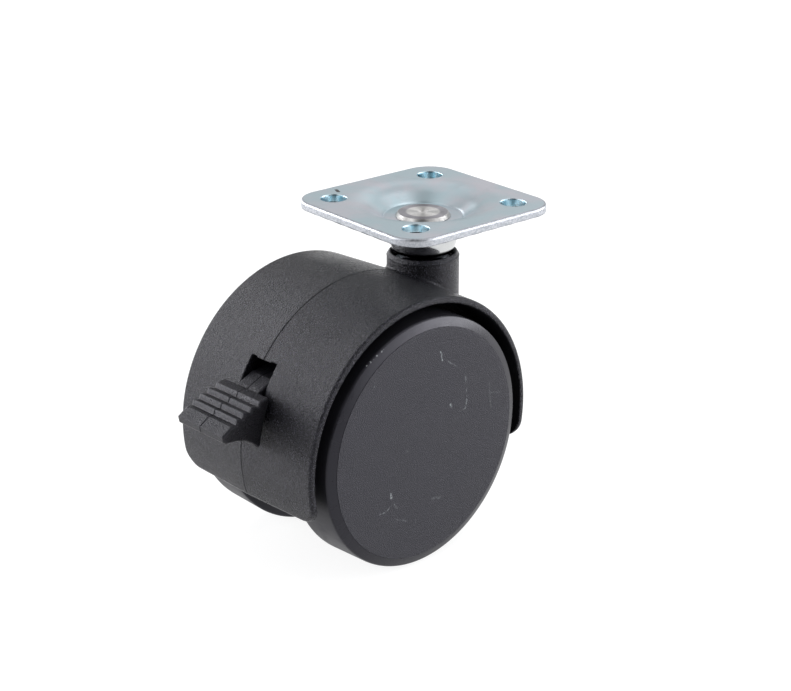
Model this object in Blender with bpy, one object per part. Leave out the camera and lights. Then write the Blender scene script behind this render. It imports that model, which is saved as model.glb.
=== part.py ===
"""Twin-wheel swivel caster with a hooded housing, a brake lever and a screw-on top plate.

Sizes are in millimetres here and metres in Blender. The origin is on the swivel axis, in the
plane of the plate's top face, +Z up. The axle runs along Y, offset to -X, and the brake
lever points to -X. "left" is the -Y side and "right" the +Y side.
"""
import math

import bmesh
import bpy
from mathutils import Matrix, Vector

MM = 0.001
GAP = 0.3                       # clearance between pieces that would touch

# facets round a full turn
BIG_SIDES = 72                  # plate, wheels and hood
PIN_SIDES = 32
SMALL_SIDES = 24

# --- driving dimensions (mm) ---------------------------------------------------------
AXLE_X = -18.6                  # trail of the wheels behind the swivel axis
AXLE_Z = -40.0                  # axle below the plate's top face

PLATE_SIDE = 37.7
PLATE_CORNER_R = 6.0
PLATE_T = 1.7
PLATE_TURN_DEG = -4.2           # the plate sits slightly turned on its swivel
PLATE_TOP_ROUND = 0.5
PLATE_FIRST_POINT = 0.04        # in facets; puts a point where each turned corner reaches furthest
HOLE_SPACING = 25.0
HOLE_R = 2.6
DISH_LIP_R = 15.5               # where the flat land starts to dip
DISH_LIP_CURVE_R = 10.1
DISH_SLOPE_DEG = 28.0
DISH_FLOOR_R = 7.65
DISH_FLOOR_Z = -3.1

PIN_R = 4.0
PIN_HEAD_R = 5.45
PIN_COLLAR_R = 6.66
PIN_COLLAR_TOP_Z = -5.1
PIN_COLLAR_STRAIGHT_Z = -8.2
PIN_COLLAR_FLOOR_R = 4.9
PIN_COLLAR_FLOOR_Z = -12.0
PIN_END_Z = -32.3
RING_GROOVE_R = 3.2
RING_GROOVE_TOP_Z = -28.3
RING_GROOVE_H = 1.4
RING_OUTER_R = 4.9
RING_SPLIT = 1.6

BOSS_R = 7.24
BOSS_TOP_Z = -10.3
BOSS_SHOULDER_Z = -11.8
BOSS_MOUTH_R = 6.35
BOSS_COUNTERBORE_Z = -13.2
BOSS_BORE_R = 5.7
BOSS_BORE_END_Z = -33.4
BOSS_END_Z = -35.4
BUSH_R = 5.4
BUSH_END_Z = -27.9
THRUST_WASHER_R = 5.9
THRUST_WASHER_T = 0.6

HOOD_MID_R = 29.3               # the mould halves part here, so it is the largest radius
HOOD_SIDE_R = 28.75
HOOD_INNER_R = 27.4
HOOD_HALF_W = 19.0
HOOD_EDGE_ROUND = 0.6
HOOD_BOTTOM_Z = -48.2
HOOD_SKIRT_CORNER_R = 4.5
WEB_HALF_T = 2.0
WEB_BOTTOM_Z = -44.0
HUB_BOSS_R = 6.5
HUB_BOSS_HALF_W = 6.8

AXLE_R = 3.0
AXLE_HALF_L = 18.6
AXLE_WASHER_R = 6.3
AXLE_WASHER_T = 0.8
CLIP_R = 5.6
CLIP_T = 0.8

WHEEL_R_INNER_EDGE = 25.4
WHEEL_R_OUTER_EDGE = 25.0
WHEEL_INNER_Y = 9.8
WHEEL_SHOULDER_Y = 19.6
WHEEL_FACE_Y = 20.0
WHEEL_RIM_INNER_R = 22.0
WHEEL_DISC_IN_Y = 15.2
WHEEL_DISC_OUT_Y = 17.2
WHEEL_HUB_R = 7.0
WHEEL_HUB_IN_Y = 8.2
WHEEL_HUB_BORE_R = 4.5
CAP_SEAT_R = 23.2
CAP_T = 1.1
CAP_SKIRT_R = 21.2
CAP_SKIRT_T = 1.0

LEVER_PIVOT = (-37.5, -28.7)    # x, z
LEVER_PIN_R = 1.25
LEVER_PIN_HALF_L = 5.3
LEVER_EYE_R = 3.2
LEVER_NECK_HALF_W = 3.1
PEDAL_HALF_W = 6.6
PEDAL_BACK_R = 30.1             # its back runs round the hood
BRAKE_BAR_R = 1.5
BRAKE_BAR_HALF_L = 13.8
BRAKE_BAR_REACH = 9.0           # from the pivot, at right angles to the wheel's radius
BRAKE_BAR_ANGLE_DEG = 55.0      # where it meets the rim, up from the front
BAR_EYE_R = 2.6

SLOT_HALF_W = 3.5
SLOT_TOP_Z = -22.05
SLOT_BOTTOM_Z = -32.4
CAVITY_FLOOR_Z = -33.7
CHEEK_HALF_W = 5.6
CHEEK_BACK_X = -33.2
CHEEK_TOP_Z = -20.5
CHEEK_BOTTOM_Z = -35.5

SPRING_HALF_W = 2.4
SPRING_T = 0.35

STEEL = (0.62, 0.63, 0.65)
ZINC = (0.66, 0.72, 0.76)
NICKEL = (0.78, 0.76, 0.73)
BLACK = (0.022, 0.022, 0.024)


# --- small geometry helpers ------------------------------------------------------------
def arc(cx, cy, r, a0, a1, n):
    """Points on an arc, degrees, both ends included."""
    pts = []
    for i in range(n + 1):
        a = math.radians(a0 + (a1 - a0) * i / n)
        pts.append((cx + r * math.cos(a), cy + r * math.sin(a)))
    return pts


def polar_xz(r, deg):
    """Point at radius r round the axle, deg up from the front (-X)."""
    a = math.radians(deg)
    return (AXLE_X - r * math.cos(a), AXLE_Z + r * math.sin(a))


def material(name, colour, rough, metal):
    mat = bpy.data.materials.get(name)
    if mat is None:
        mat = bpy.data.materials.new(name)
        mat.use_nodes = True
        bsdf = mat.node_tree.nodes["Principled BSDF"]
        bsdf.inputs["Base Color"].default_value = (*colour, 1.0)
        bsdf.inputs["Roughness"].default_value = rough
        bsdf.inputs["Metallic"].default_value = metal
    return mat


def make_object(name, bm, origin, mat, smooth_deg=30.0):
    """Mesh object whose origin is at `origin` (mm, world)."""
    bmesh.ops.recalc_face_normals(bm, faces=bm.faces)
    shift = Vector(origin) * MM
    bm.transform(Matrix.Scale(MM, 4))
    bm.transform(Matrix.Translation(-shift))
    mesh = bpy.data.meshes.new(name)
    bm.to_mesh(mesh)
    bm.free()
    mesh.shade_smooth()
    mesh.set_sharp_from_angle(angle=math.radians(smooth_deg))
    obj = bpy.data.objects.new(name, mesh)
    obj.location = shift
    bpy.context.scene.collection.objects.link(obj)
    if mat is not None:
        mesh.materials.append(mat)
    return obj


def turned(profile, axis, centre, segments):
    """Closed solid turned from a closed (radius, height) outline.

    axis "Z" turns round the vertical through centre (x, y); axis "Y" round the line
    parallel to Y through centre (x, z), with height measured along +Y.
    """
    bm = bmesh.new()
    rings = []
    for r, h in profile:
        count = 1 if r < 1e-6 else segments
        ring = []
        for i in range(count):
            a = 2.0 * math.pi * i / segments
            u = centre[0] + r * math.cos(a)
            v = centre[1] + r * math.sin(a)
            ring.append(bm.verts.new((u, v, h) if axis == "Z" else (u, h, v)))
        rings.append(ring)
    for k, ring in enumerate(rings):
        nxt = rings[(k + 1) % len(rings)]
        for i in range(segments):
            j = (i + 1) % segments
            quad = [ring[i % len(ring)], ring[j % len(ring)], nxt[j % len(nxt)], nxt[i % len(nxt)]]
            face = list(dict.fromkeys(quad))
            if len(face) > 2:
                bm.faces.new(face)
    return bm


def prism(outline, half_w):
    """Outline in x, z extruded along Y to both sides of the mid-plane."""
    bm = bmesh.new()
    lo = [bm.verts.new((x, -half_w, z)) for x, z in outline]
    hi = [bm.verts.new((x, half_w, z)) for x, z in outline]
    bm.faces.new(lo)
    bm.faces.new(list(reversed(hi)))
    for i in range(len(outline)):
        j = (i + 1) % len(outline)
        bm.faces.new((lo[i], hi[i], hi[j], lo[j]))
    return bm


def boolean(target, other, operation):
    """Keeps `other` as a hidden guide that shapes `target`."""
    mod = target.modifiers.new(operation.lower() + "_" + other.name, "BOOLEAN")
    mod.operation = operation
    mod.solver = "EXACT"
    mod.object = other
    other.hide_render = True
    other.display_type = "WIRE"
    other.hide_viewport = False
    return mod


def mirror_heights(profile, side):
    """Heights are outward distances from the mid-plane; side is -1 or +1."""
    return [(r, h * side) for r, h in profile]


# --- top plate, pin and swivel -----------------------------------------------------------
def dish_profile():
    """Top surface of the plate from the flat land in to the rivet seat: (r, z, slope)."""
    pts = []
    steps = 5
    for i in range(steps + 1):
        slope = DISH_SLOPE_DEG * i / steps
        a = math.radians(slope)
        r = DISH_LIP_R - DISH_LIP_CURVE_R * math.sin(a)
        z = -DISH_LIP_CURVE_R * (1.0 - math.cos(a))
        pts.append((r, z, slope))
    pts.append((DISH_FLOOR_R, DISH_FLOOR_Z, DISH_SLOPE_DEG * 0.5))
    return pts


def plate_outline(inset, count):
    """Rounded square, one point for each of `count` equal directions."""
    half = PLATE_SIDE / 2.0 - inset
    r = PLATE_CORNER_R - inset
    flat = half - r
    pts = []
    for i in range(count):
        a = 2.0 * math.pi * (i + PLATE_FIRST_POINT) / count
        dx, dy = math.cos(a), math.sin(a)
        ax, ay = abs(dx), abs(dy)
        reach = half / max(ax, ay)
        if reach * min(ax, ay) > flat:
            b = flat * (ax + ay)
            reach = b + math.sqrt(b * b - 2.0 * flat * flat + r * r)
        pts.append((dx * reach, dy * reach))
    return pts


def build_top_plate():
    count = BIG_SIDES
    bm = bmesh.new()

    def circle(r, z):
        pts = []
        for i in range(count):
            a = 2.0 * math.pi * (i + PLATE_FIRST_POINT) / count
            pts.append(bm.verts.new((r * math.cos(a), r * math.sin(a), z)))
        return pts

    def square(inset, z):
        return [bm.verts.new((x, y, z)) for x, y in plate_outline(inset, count)]

    pin_hole_r = PIN_R + GAP
    top = dish_profile()
    rings = [circle(pin_hole_r, DISH_FLOOR_Z)]
    rings += [circle(r, z) for r, z, _ in reversed(top)]
    rings += [square(PLATE_TOP_ROUND, 0.0), square(PLATE_TOP_ROUND * 0.3, -PLATE_TOP_ROUND * 0.3)]
    rings += [square(0.0, -PLATE_TOP_ROUND), square(0.0, -PLATE_T + 0.15), square(0.15, -PLATE_T)]
    for r, z, slope in top[:-1]:
        a = math.radians(slope)
        rings.append(circle(r + PLATE_T * math.sin(a), z - PLATE_T * math.cos(a)))
    seat_r = DISH_FLOOR_R + PLATE_T * math.tan(math.radians(DISH_SLOPE_DEG / 2.0))
    rings.append(circle(seat_r, DISH_FLOOR_Z - PLATE_T))
    rings.append(circle(pin_hole_r, DISH_FLOOR_Z - PLATE_T))
    for k, ring in enumerate(rings):
        nxt = rings[(k + 1) % len(rings)]
        for i in range(count):
            j = (i + 1) % count
            bm.faces.new((ring[i], ring[j], nxt[j], nxt[i]))
    plate = make_object("top_plate", bm, (0, 0, 0), material("zinc_plate", ZINC, 0.35, 1.0))
    for sx in (-1, 1):
        for sy in (-1, 1):
            hole = [(0.0, 2.0), (HOLE_R, 2.0), (HOLE_R, -4.0), (0.0, -4.0)]
            at = (sx * HOLE_SPACING / 2.0, sy * HOLE_SPACING / 2.0)
            cutter = make_object("cut_hole_%d_%d" % (sx, sy), turned(hole, "Z", at, SMALL_SIDES), (0, 0, 0), None)
            cutter.parent = plate
            boolean(plate, cutter, "DIFFERENCE")
    plate.rotation_euler = (0.0, 0.0, math.radians(PLATE_TURN_DEG))
    return plate


def build_swivel_pin():
    seat_z = DISH_FLOOR_Z + GAP
    bowl_h = PIN_COLLAR_STRAIGHT_Z - PIN_COLLAR_FLOOR_Z
    bowl_w = PIN_COLLAR_R - PIN_COLLAR_FLOOR_R
    profile = [
        (0.0, seat_z + 0.15),
        (1.1, seat_z + 0.15),
        (2.2, seat_z + 0.5),
        (4.6, seat_z + 0.5),
        (PIN_HEAD_R, seat_z + 0.2),
        (PIN_HEAD_R, seat_z),
        (PIN_R, seat_z),
        (PIN_R, PIN_COLLAR_TOP_Z),
        (PIN_COLLAR_R - 0.3, PIN_COLLAR_TOP_Z),
        (PIN_COLLAR_R, PIN_COLLAR_TOP_Z - 0.3),
    ]
    for i in range(7):
        a = math.radians(90.0 * i / 6)
        r = PIN_COLLAR_FLOOR_R + bowl_w * math.cos(a)
        profile.append((r, PIN_COLLAR_STRAIGHT_Z - bowl_h * math.sin(a)))
    profile += [
        (PIN_R, PIN_COLLAR_FLOOR_Z),
        (PIN_R, RING_GROOVE_TOP_Z),
        (RING_GROOVE_R, RING_GROOVE_TOP_Z),
        (RING_GROOVE_R, RING_GROOVE_TOP_Z - RING_GROOVE_H),
        (PIN_R, RING_GROOVE_TOP_Z - RING_GROOVE_H),
        (PIN_R, PIN_END_Z + 0.8),
        (PIN_R - 0.8, PIN_END_Z),
        (0.0, PIN_END_Z),
    ]
    bm = turned(profile, "Z", (0, 0), PIN_SIDES)
    return make_object("swivel_pin", bm, (0, 0, 0), material("nickel_pin", NICKEL, 0.2, 1.0))


def build_pin_ring():
    top = RING_GROOVE_TOP_Z - GAP
    bottom = RING_GROOVE_TOP_Z - RING_GROOVE_H + GAP
    inner = RING_GROOVE_R + GAP
    profile = [(inner, top), (RING_OUTER_R, top), (RING_OUTER_R, bottom), (inner, bottom)]
    mat = material("spring_steel", STEEL, 0.35, 1.0)
    ring = make_object("pin_retaining_ring", turned(profile, "Z", (0, 0), PIN_SIDES), (0, 0, 0), mat)
    split = bmesh.new()
    bmesh.ops.create_cube(split, size=1.0)
    bmesh.ops.scale(split, vec=(3.0, RING_SPLIT, 3.0), verts=split.verts)
    bmesh.ops.translate(split, vec=(-4.2, 0.0, (top + bottom) / 2.0), verts=split.verts)
    boolean(ring, make_object("cut_ring_split", split, (0, 0, 0), None), "DIFFERENCE")
    return ring


def build_thrust_washer():
    top = PIN_COLLAR_FLOOR_Z - GAP
    bottom = top - THRUST_WASHER_T
    inner = PIN_R + GAP
    profile = [(inner, top), (THRUST_WASHER_R, top), (THRUST_WASHER_R, bottom), (inner, bottom)]
    mat = material("washer_steel", STEEL, 0.3, 1.0)
    return make_object("thrust_washer", turned(profile, "Z", (0, 0), PIN_SIDES), (0, 0, 0), mat)


def build_swivel_bush():
    inner = PIN_R + GAP
    top = BOSS_COUNTERBORE_Z
    profile = [
        (inner, top),
        (BUSH_R, top),
        (BUSH_R, BUSH_END_Z),
        (inner, BUSH_END_Z),
    ]
    mat = material("bush_steel", STEEL, 0.4, 1.0)
    return make_object("swivel_bush", turned(profile, "Z", (0, 0), PIN_SIDES), (0, 0, 0), mat)


# --- housing ---------------------------------------------------------------------------------
def build_housing():
    mat = material("black_nylon", BLACK, 0.55, 0.0)
    e = HOOD_EDGE_ROUND
    w = HOOD_HALF_W
    right = [
        (HOOD_SIDE_R, w - e),
        (HOOD_SIDE_R - e * 0.3, w - e * 0.3),
        (HOOD_SIDE_R - e, w),
        (HOOD_INNER_R, w),
    ]
    left = [(r, -y) for r, y in reversed(right)]
    shell = make_object("housing", turned([(HOOD_MID_R, 0.0)] + right + left, "Y", (AXLE_X, AXLE_Z), BIG_SIDES),
                        (0, 0, 0), mat)

    # skirt: level lower edge with rounded corners, the same at the front and the rear
    c = HOOD_SKIRT_CORNER_R
    keep = arc(w + 1.0 - c, HOOD_BOTTOM_Z + c, c, 0, -90, 6)
    keep += [(-y, z) for y, z in reversed(keep)]
    keep += [(-w - 1.0, 0.0), (w + 1.0, 0.0)]
    bm = bmesh.new()
    front = [bm.verts.new((AXLE_X - 40.0, y, z)) for y, z in keep]
    rear = [bm.verts.new((AXLE_X + 40.0, y, z)) for y, z in keep]
    bm.faces.new(front)
    bm.faces.new(list(reversed(rear)))
    for i in range(len(keep)):
        j = (i + 1) % len(keep)
        bm.faces.new((front[i], rear[i], rear[j], front[j]))
    boolean(shell, make_object("keep_skirt", bm, (0, 0, 0), None), "INTERSECT")

    # web between the wheels
    bottom_deg = math.degrees(math.asin((WEB_BOTTOM_Z - AXLE_Z) / (HOOD_INNER_R + 0.6)))
    web = [polar_xz(HOOD_INNER_R + 0.6, bottom_deg + (180.0 - 2.0 * bottom_deg) * i / 40) for i in range(41)]
    boolean(shell, make_object("add_web", prism(web, WEB_HALF_T), (0, 0, 0), None), "UNION")

    # boss for the swivel pin
    boss = [(0.0, BOSS_TOP_Z), (BOSS_R - 0.75, BOSS_TOP_Z)]
    for i in range(1, 5):
        a = math.radians(90.0 * i / 4)
        boss.append((BOSS_R - 0.75 + 0.75 * math.sin(a),
                     BOSS_SHOULDER_Z + (BOSS_TOP_Z - BOSS_SHOULDER_Z) * math.cos(a)))
    boss += [(BOSS_R, BOSS_END_Z), (0.0, BOSS_END_Z)]
    boolean(shell, make_object("add_boss", turned(boss, "Z", (0, 0), 40), (0, 0, 0), None), "UNION")

    # boss for the axle
    hub = [(0.0, HUB_BOSS_HALF_W), (HUB_BOSS_R, HUB_BOSS_HALF_W),
           (HUB_BOSS_R, -HUB_BOSS_HALF_W), (0.0, -HUB_BOSS_HALF_W)]
    boolean(shell, make_object("add_hub", turned(hub, "Y", (AXLE_X, AXLE_Z), PIN_SIDES), (0, 0, 0), None), "UNION")

    # cheeks that carry the lever's pin
    r = HOOD_INNER_R + 0.7
    low = math.degrees(math.asin((CHEEK_BOTTOM_Z - AXLE_Z) / r))
    high = math.degrees(math.asin((CHEEK_TOP_Z - AXLE_Z) / r))
    cheeks = [polar_xz(r, low + (high - low) * i / 8) for i in range(9)]
    cheeks += [(CHEEK_BACK_X, CHEEK_TOP_Z), (CHEEK_BACK_X, CHEEK_BOTTOM_Z)]
    boolean(shell, make_object("add_cheeks", prism(cheeks, CHEEK_HALF_W), (0, 0, 0), None), "UNION")

    # slot and the space the lever swings in
    cavity = [
        (-52.0, SLOT_BOTTOM_Z),
        (-44.0, SLOT_BOTTOM_Z),
        (-44.0, CAVITY_FLOOR_Z),
        (-25.2, CAVITY_FLOOR_Z),
        (-25.2, -20.4),
        (-34.5, -20.4),
        (-36.5, SLOT_TOP_Z),
        (-52.0, SLOT_TOP_Z),
    ]
    boolean(shell, make_object("cut_slot", prism(cavity, SLOT_HALF_W), (0, 0, 0), None), "DIFFERENCE")

    # bores
    bore = [
        (0.0, 0.0),
        (BOSS_MOUTH_R, 0.0),
        (BOSS_MOUTH_R, BOSS_COUNTERBORE_Z),
        (BOSS_BORE_R, BOSS_COUNTERBORE_Z),
        (BOSS_BORE_R, BOSS_BORE_END_Z),
        (0.0, BOSS_BORE_END_Z),
    ]
    boolean(shell, make_object("cut_bore", turned(bore, "Z", (0, 0), PIN_SIDES), (0, 0, 0), None), "DIFFERENCE")
    for name, at, radius in (("cut_axle", (AXLE_X, AXLE_Z), AXLE_R + GAP),
                             ("cut_lever_pin", LEVER_PIVOT, LEVER_PIN_R + GAP)):
        rod = [(0.0, 9.0), (radius, 9.0), (radius, -9.0), (0.0, -9.0)]
        boolean(shell, make_object(name, turned(rod, "Y", at, SMALL_SIDES), (0, 0, 0), None), "DIFFERENCE")
    return shell


# --- axle and wheels ---------------------------------------------------------------------------
def build_axle():
    c = 0.4
    profile = [
        (0.0, AXLE_HALF_L), (AXLE_R - c, AXLE_HALF_L), (AXLE_R, AXLE_HALF_L - c),
        (AXLE_R, -AXLE_HALF_L + c), (AXLE_R - c, -AXLE_HALF_L), (0.0, -AXLE_HALF_L),
    ]
    mat = material("axle_steel", STEEL, 0.25, 1.0)
    origin = (AXLE_X, 0.0, AXLE_Z)
    return make_object("axle", turned(profile, "Y", (AXLE_X, AXLE_Z), PIN_SIDES), origin, mat)


def ring_on_axle(name, inner, outer, y0, y1, side, mat):
    profile = mirror_heights([(inner, y0), (outer, y0), (outer, y1), (inner, y1)], side)
    bm = turned(profile, "Y", (AXLE_X, AXLE_Z), PIN_SIDES)
    return make_object(name, bm, (AXLE_X, 0.0, AXLE_Z), mat)


def build_wheel(side, tag):
    origin = (AXLE_X, 0.0, AXLE_Z)
    tread_out_y = WHEEL_SHOULDER_Y - 0.5
    body = [
        (WHEEL_HUB_BORE_R, WHEEL_HUB_IN_Y),
        (WHEEL_HUB_R, WHEEL_HUB_IN_Y),
        (WHEEL_HUB_R, WHEEL_DISC_IN_Y),
        (WHEEL_RIM_INNER_R, WHEEL_DISC_IN_Y),
        (WHEEL_RIM_INNER_R, WHEEL_INNER_Y),
        (WHEEL_R_INNER_EDGE - 0.4, WHEEL_INNER_Y),
        (WHEEL_R_INNER_EDGE, WHEEL_INNER_Y + 0.4),
        (WHEEL_R_OUTER_EDGE, tread_out_y),
        (WHEEL_R_OUTER_EDGE - 0.15, WHEEL_SHOULDER_Y - 0.15),
        (WHEEL_R_OUTER_EDGE - 0.5, WHEEL_SHOULDER_Y),
        (CAP_SEAT_R, WHEEL_FACE_Y - 0.05),
        (CAP_SEAT_R, WHEEL_DISC_OUT_Y),
        (WHEEL_HUB_BORE_R, WHEEL_DISC_OUT_Y),
    ]
    mat = material("wheel_nylon", BLACK, 0.25, 0.0)
    bm = turned(mirror_heights(body, side), "Y", (AXLE_X, AXLE_Z), BIG_SIDES)
    make_object("wheel_body_" + tag, bm, origin, mat)

    cap_in_y = WHEEL_FACE_Y - CAP_T
    cap_r = CAP_SEAT_R - GAP
    cap = [
        (0.0, WHEEL_FACE_Y),
        (cap_r - 0.15, WHEEL_FACE_Y),
        (cap_r, WHEEL_FACE_Y - 0.15),
        (cap_r, cap_in_y),
        (CAP_SKIRT_R, cap_in_y),
        (CAP_SKIRT_R, WHEEL_DISC_OUT_Y + GAP),
        (CAP_SKIRT_R - CAP_SKIRT_T, WHEEL_DISC_OUT_Y + GAP),
        (CAP_SKIRT_R - CAP_SKIRT_T, cap_in_y),
        (0.0, cap_in_y),
    ]
    mat = material("cap_nylon", (0.04, 0.04, 0.043), 0.6, 0.0)
    bm = turned(mirror_heights(cap, side), "Y", (AXLE_X, AXLE_Z), BIG_SIDES)
    make_object("wheel_cap_" + tag, bm, origin, mat)

    steel = material("washer_steel", STEEL, 0.3, 1.0)
    acetal = material("bush_acetal", (0.75, 0.73, 0.68), 0.45, 0.0)
    bore = AXLE_R + GAP
    ring_on_axle("hub_bush_" + tag, bore, WHEEL_HUB_BORE_R - GAP,
                 WHEEL_HUB_IN_Y, WHEEL_DISC_OUT_Y, side, acetal)
    washer_in = HUB_BOSS_HALF_W + GAP
    ring_on_axle("axle_washer_" + tag, bore, AXLE_WASHER_R,
                 washer_in, washer_in + AXLE_WASHER_T, side, steel)
    clip_in = WHEEL_DISC_OUT_Y + GAP
    ring_on_axle("axle_clip_" + tag, bore, CLIP_R,
                 clip_in, clip_in + CLIP_T, side, steel)


# --- brake -----------------------------------------------------------------------------------------
def brake_bar_centre():
    a = math.radians(BRAKE_BAR_ANGLE_DEG)
    return (LEVER_PIVOT[0] + BRAKE_BAR_REACH * math.sin(a),
            LEVER_PIVOT[1] + BRAKE_BAR_REACH * math.cos(a))


def build_brake_lever():
    origin = (LEVER_PIVOT[0], 0.0, LEVER_PIVOT[1])
    mat = material("lever_nylon", BLACK, 0.5, 0.0)
    pedal = [
        (-46.0, -26.35),
        (-48.1, -26.75), (-48.25, -27.5),
        (-49.9, -27.25), (-50.05, -28.05),
        (-51.65, -27.8), (-51.8, -28.6),
        (-53.35, -28.4), (-53.5, -29.2),
        (-55.0, -29.35), (-57.1, -30.95), (-57.1, -31.35), (-56.5, -32.05),
        (-54.0, -32.3), (-52.0, -32.9), (-50.3, -34.0), (-48.9, -35.4),
    ]
    pedal += [polar_xz(PEDAL_BACK_R, 9.4 + (25.0 - 9.4) * i / 4) for i in range(5)]
    lever = make_object("brake_lever", prism(pedal, PEDAL_HALF_W), origin, mat)

    bar = brake_bar_centre()
    px, pz = LEVER_PIVOT
    neck = [(-46.5, -26.9), (-45.1, -26.1), (-42.1, -24.8), (-39.5, -24.6), (-35.5, -23.9)]
    neck += arc(bar[0], bar[1], BAR_EYE_R, 125, -60, 8)
    neck += [(-33.2, -29.0)]
    neck += arc(px, pz, LEVER_EYE_R, -30, -110, 5)
    neck += [(-43.0, -31.6), (-47.2, -31.9)]
    boolean(lever, make_object("add_neck", prism(neck, LEVER_NECK_HALF_W), (0, 0, 0), None), "UNION")
    for name, at, radius in (("cut_eye", LEVER_PIVOT, LEVER_PIN_R + GAP),
                             ("cut_bar_eye", bar, BRAKE_BAR_R + GAP)):
        rod = [(0.0, 9.0), (radius, 9.0), (radius, -9.0), (0.0, -9.0)]
        boolean(lever, make_object(name, turned(rod, "Y", at, SMALL_SIDES), (0, 0, 0), None), "DIFFERENCE")

    for name, at, radius, half, finish in (
            ("lever_pin", LEVER_PIVOT, LEVER_PIN_R, LEVER_PIN_HALF_L, "axle_steel"),
            ("brake_bar", bar, BRAKE_BAR_R, BRAKE_BAR_HALF_L, "bar_steel")):
        c = 0.25
        rod = [(0.0, half), (radius - c, half), (radius, half - c),
               (radius, -half + c), (radius - c, -half), (0.0, -half)]
        make_object(name, turned(rod, "Y", at, SMALL_SIDES), origin, material(finish, STEEL, 0.25, 1.0))


def build_detent_spring():
    floor = CAVITY_FLOOR_Z + GAP
    top = floor + SPRING_T
    px = LEVER_PIVOT[0]
    rise = 0.85
    line = [(-43.4, top), (px - 2.6, top), (px - 0.7, top + rise), (px + 0.7, top + rise),
            (px + 2.6, top), (-31.0, top)]
    outline = line + [(x, z - SPRING_T) for x, z in reversed(line)]
    mat = material("spring_steel", STEEL, 0.35, 1.0)
    return make_object("detent_spring", prism(outline, SPRING_HALF_W), (0, 0, 0), mat)


def main():
    for obj in list(bpy.data.objects):
        bpy.data.objects.remove(obj, do_unlink=True)
    build_top_plate()
    build_swivel_pin()
    build_pin_ring()
    build_thrust_washer()
    build_swivel_bush()
    build_housing()
    build_axle()
    build_wheel(-1, "left")
    build_wheel(1, "right")
    build_brake_lever()
    build_detent_spring()


main()
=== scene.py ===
"""Looks of the twin-wheel swivel caster: detailed meshes and procedural materials.

Lengths are millimetres. They are scaled to metres where meshes are made and where a length
enters a shader node; only noise scales are per metre. The frame is the CAD's: origin on the
swivel axis in the plate's top plane, Z up, the wheels' axle along Y.
"""
import math

import bmesh
import bpy
import numpy as np
from mathutils import Matrix, Vector


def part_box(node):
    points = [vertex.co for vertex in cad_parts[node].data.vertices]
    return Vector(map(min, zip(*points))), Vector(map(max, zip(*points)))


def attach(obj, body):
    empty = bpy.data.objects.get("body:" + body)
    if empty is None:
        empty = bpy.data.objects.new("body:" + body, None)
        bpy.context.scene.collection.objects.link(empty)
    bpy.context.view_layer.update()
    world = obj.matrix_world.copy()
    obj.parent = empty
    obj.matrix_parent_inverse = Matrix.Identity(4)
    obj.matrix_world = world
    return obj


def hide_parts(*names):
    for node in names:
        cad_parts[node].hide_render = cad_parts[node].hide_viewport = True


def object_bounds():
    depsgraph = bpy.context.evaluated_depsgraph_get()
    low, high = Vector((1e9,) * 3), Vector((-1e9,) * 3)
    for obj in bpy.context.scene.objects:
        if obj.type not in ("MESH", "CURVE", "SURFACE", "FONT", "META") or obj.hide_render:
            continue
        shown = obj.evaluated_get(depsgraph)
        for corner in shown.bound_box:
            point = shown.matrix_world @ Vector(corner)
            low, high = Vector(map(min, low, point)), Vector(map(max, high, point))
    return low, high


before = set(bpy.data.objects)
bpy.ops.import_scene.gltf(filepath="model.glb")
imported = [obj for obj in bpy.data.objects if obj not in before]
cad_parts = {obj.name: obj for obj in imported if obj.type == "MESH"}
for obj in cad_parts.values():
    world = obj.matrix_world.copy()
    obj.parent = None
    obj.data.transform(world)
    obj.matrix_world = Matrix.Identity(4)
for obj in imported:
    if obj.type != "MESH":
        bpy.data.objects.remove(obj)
cad_bounds = [[float(v) for v in corner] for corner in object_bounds()]

MM = 0.001


# --- places taken from the frame --------------------------------------------------------------
def cad_box(node):
    """Lowest and highest corner of a CAD piece's box."""
    lo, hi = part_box(node)
    return np.array(lo) / MM, np.array(hi) / MM


def cross_axis(node):
    """x and z of the middle of a pin that lies across the caster."""
    lo, hi = cad_box(node)
    return (lo[0] + hi[0]) / 2, (lo[2] + hi[2]) / 2


AXLE_X, AXLE_Z = cross_axis("axle")
PIVOT_X, PIVOT_Z = cross_axis("lever_pin")
BAR_X, BAR_Z = cross_axis("brake_bar")

# --- plate ---
PLATE_HALF = 18.85
PLATE_CORNER_R = 6.0
PLATE_T = 1.7
PLATE_TURN = math.radians(-4.2)
PLATE_TOP_EDGE_R = 0.5
PLATE_BOTTOM_EDGE_R = 0.18
HOLE_AT = 12.5
HOLE_R = 2.6
HOLE_EDGE_R = 0.22
HOLE_TAPER = 0.15                # a punched hole closes a little towards its lower edge
DISH_LIP_R = 15.5
DISH_CURVE_R = 10.1
DISH_ANGLE = math.radians(32.08)
DISH_FLOOR_R = 7.65
DISH_FLOOR_Z = -3.1
DISH_FOLD = 0.2                  # softness of the turn from the dish's wall to its floor
COIN_AT_R = DISH_FLOOR_R + 0.1   # shallow mark that the punch leaves round the dish's floor
COIN_H = 0.10
COIN_W = 0.24
RIVET_HOLE_R = 4.3
RIVET_HOLE_EDGE_R = 0.2

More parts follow.
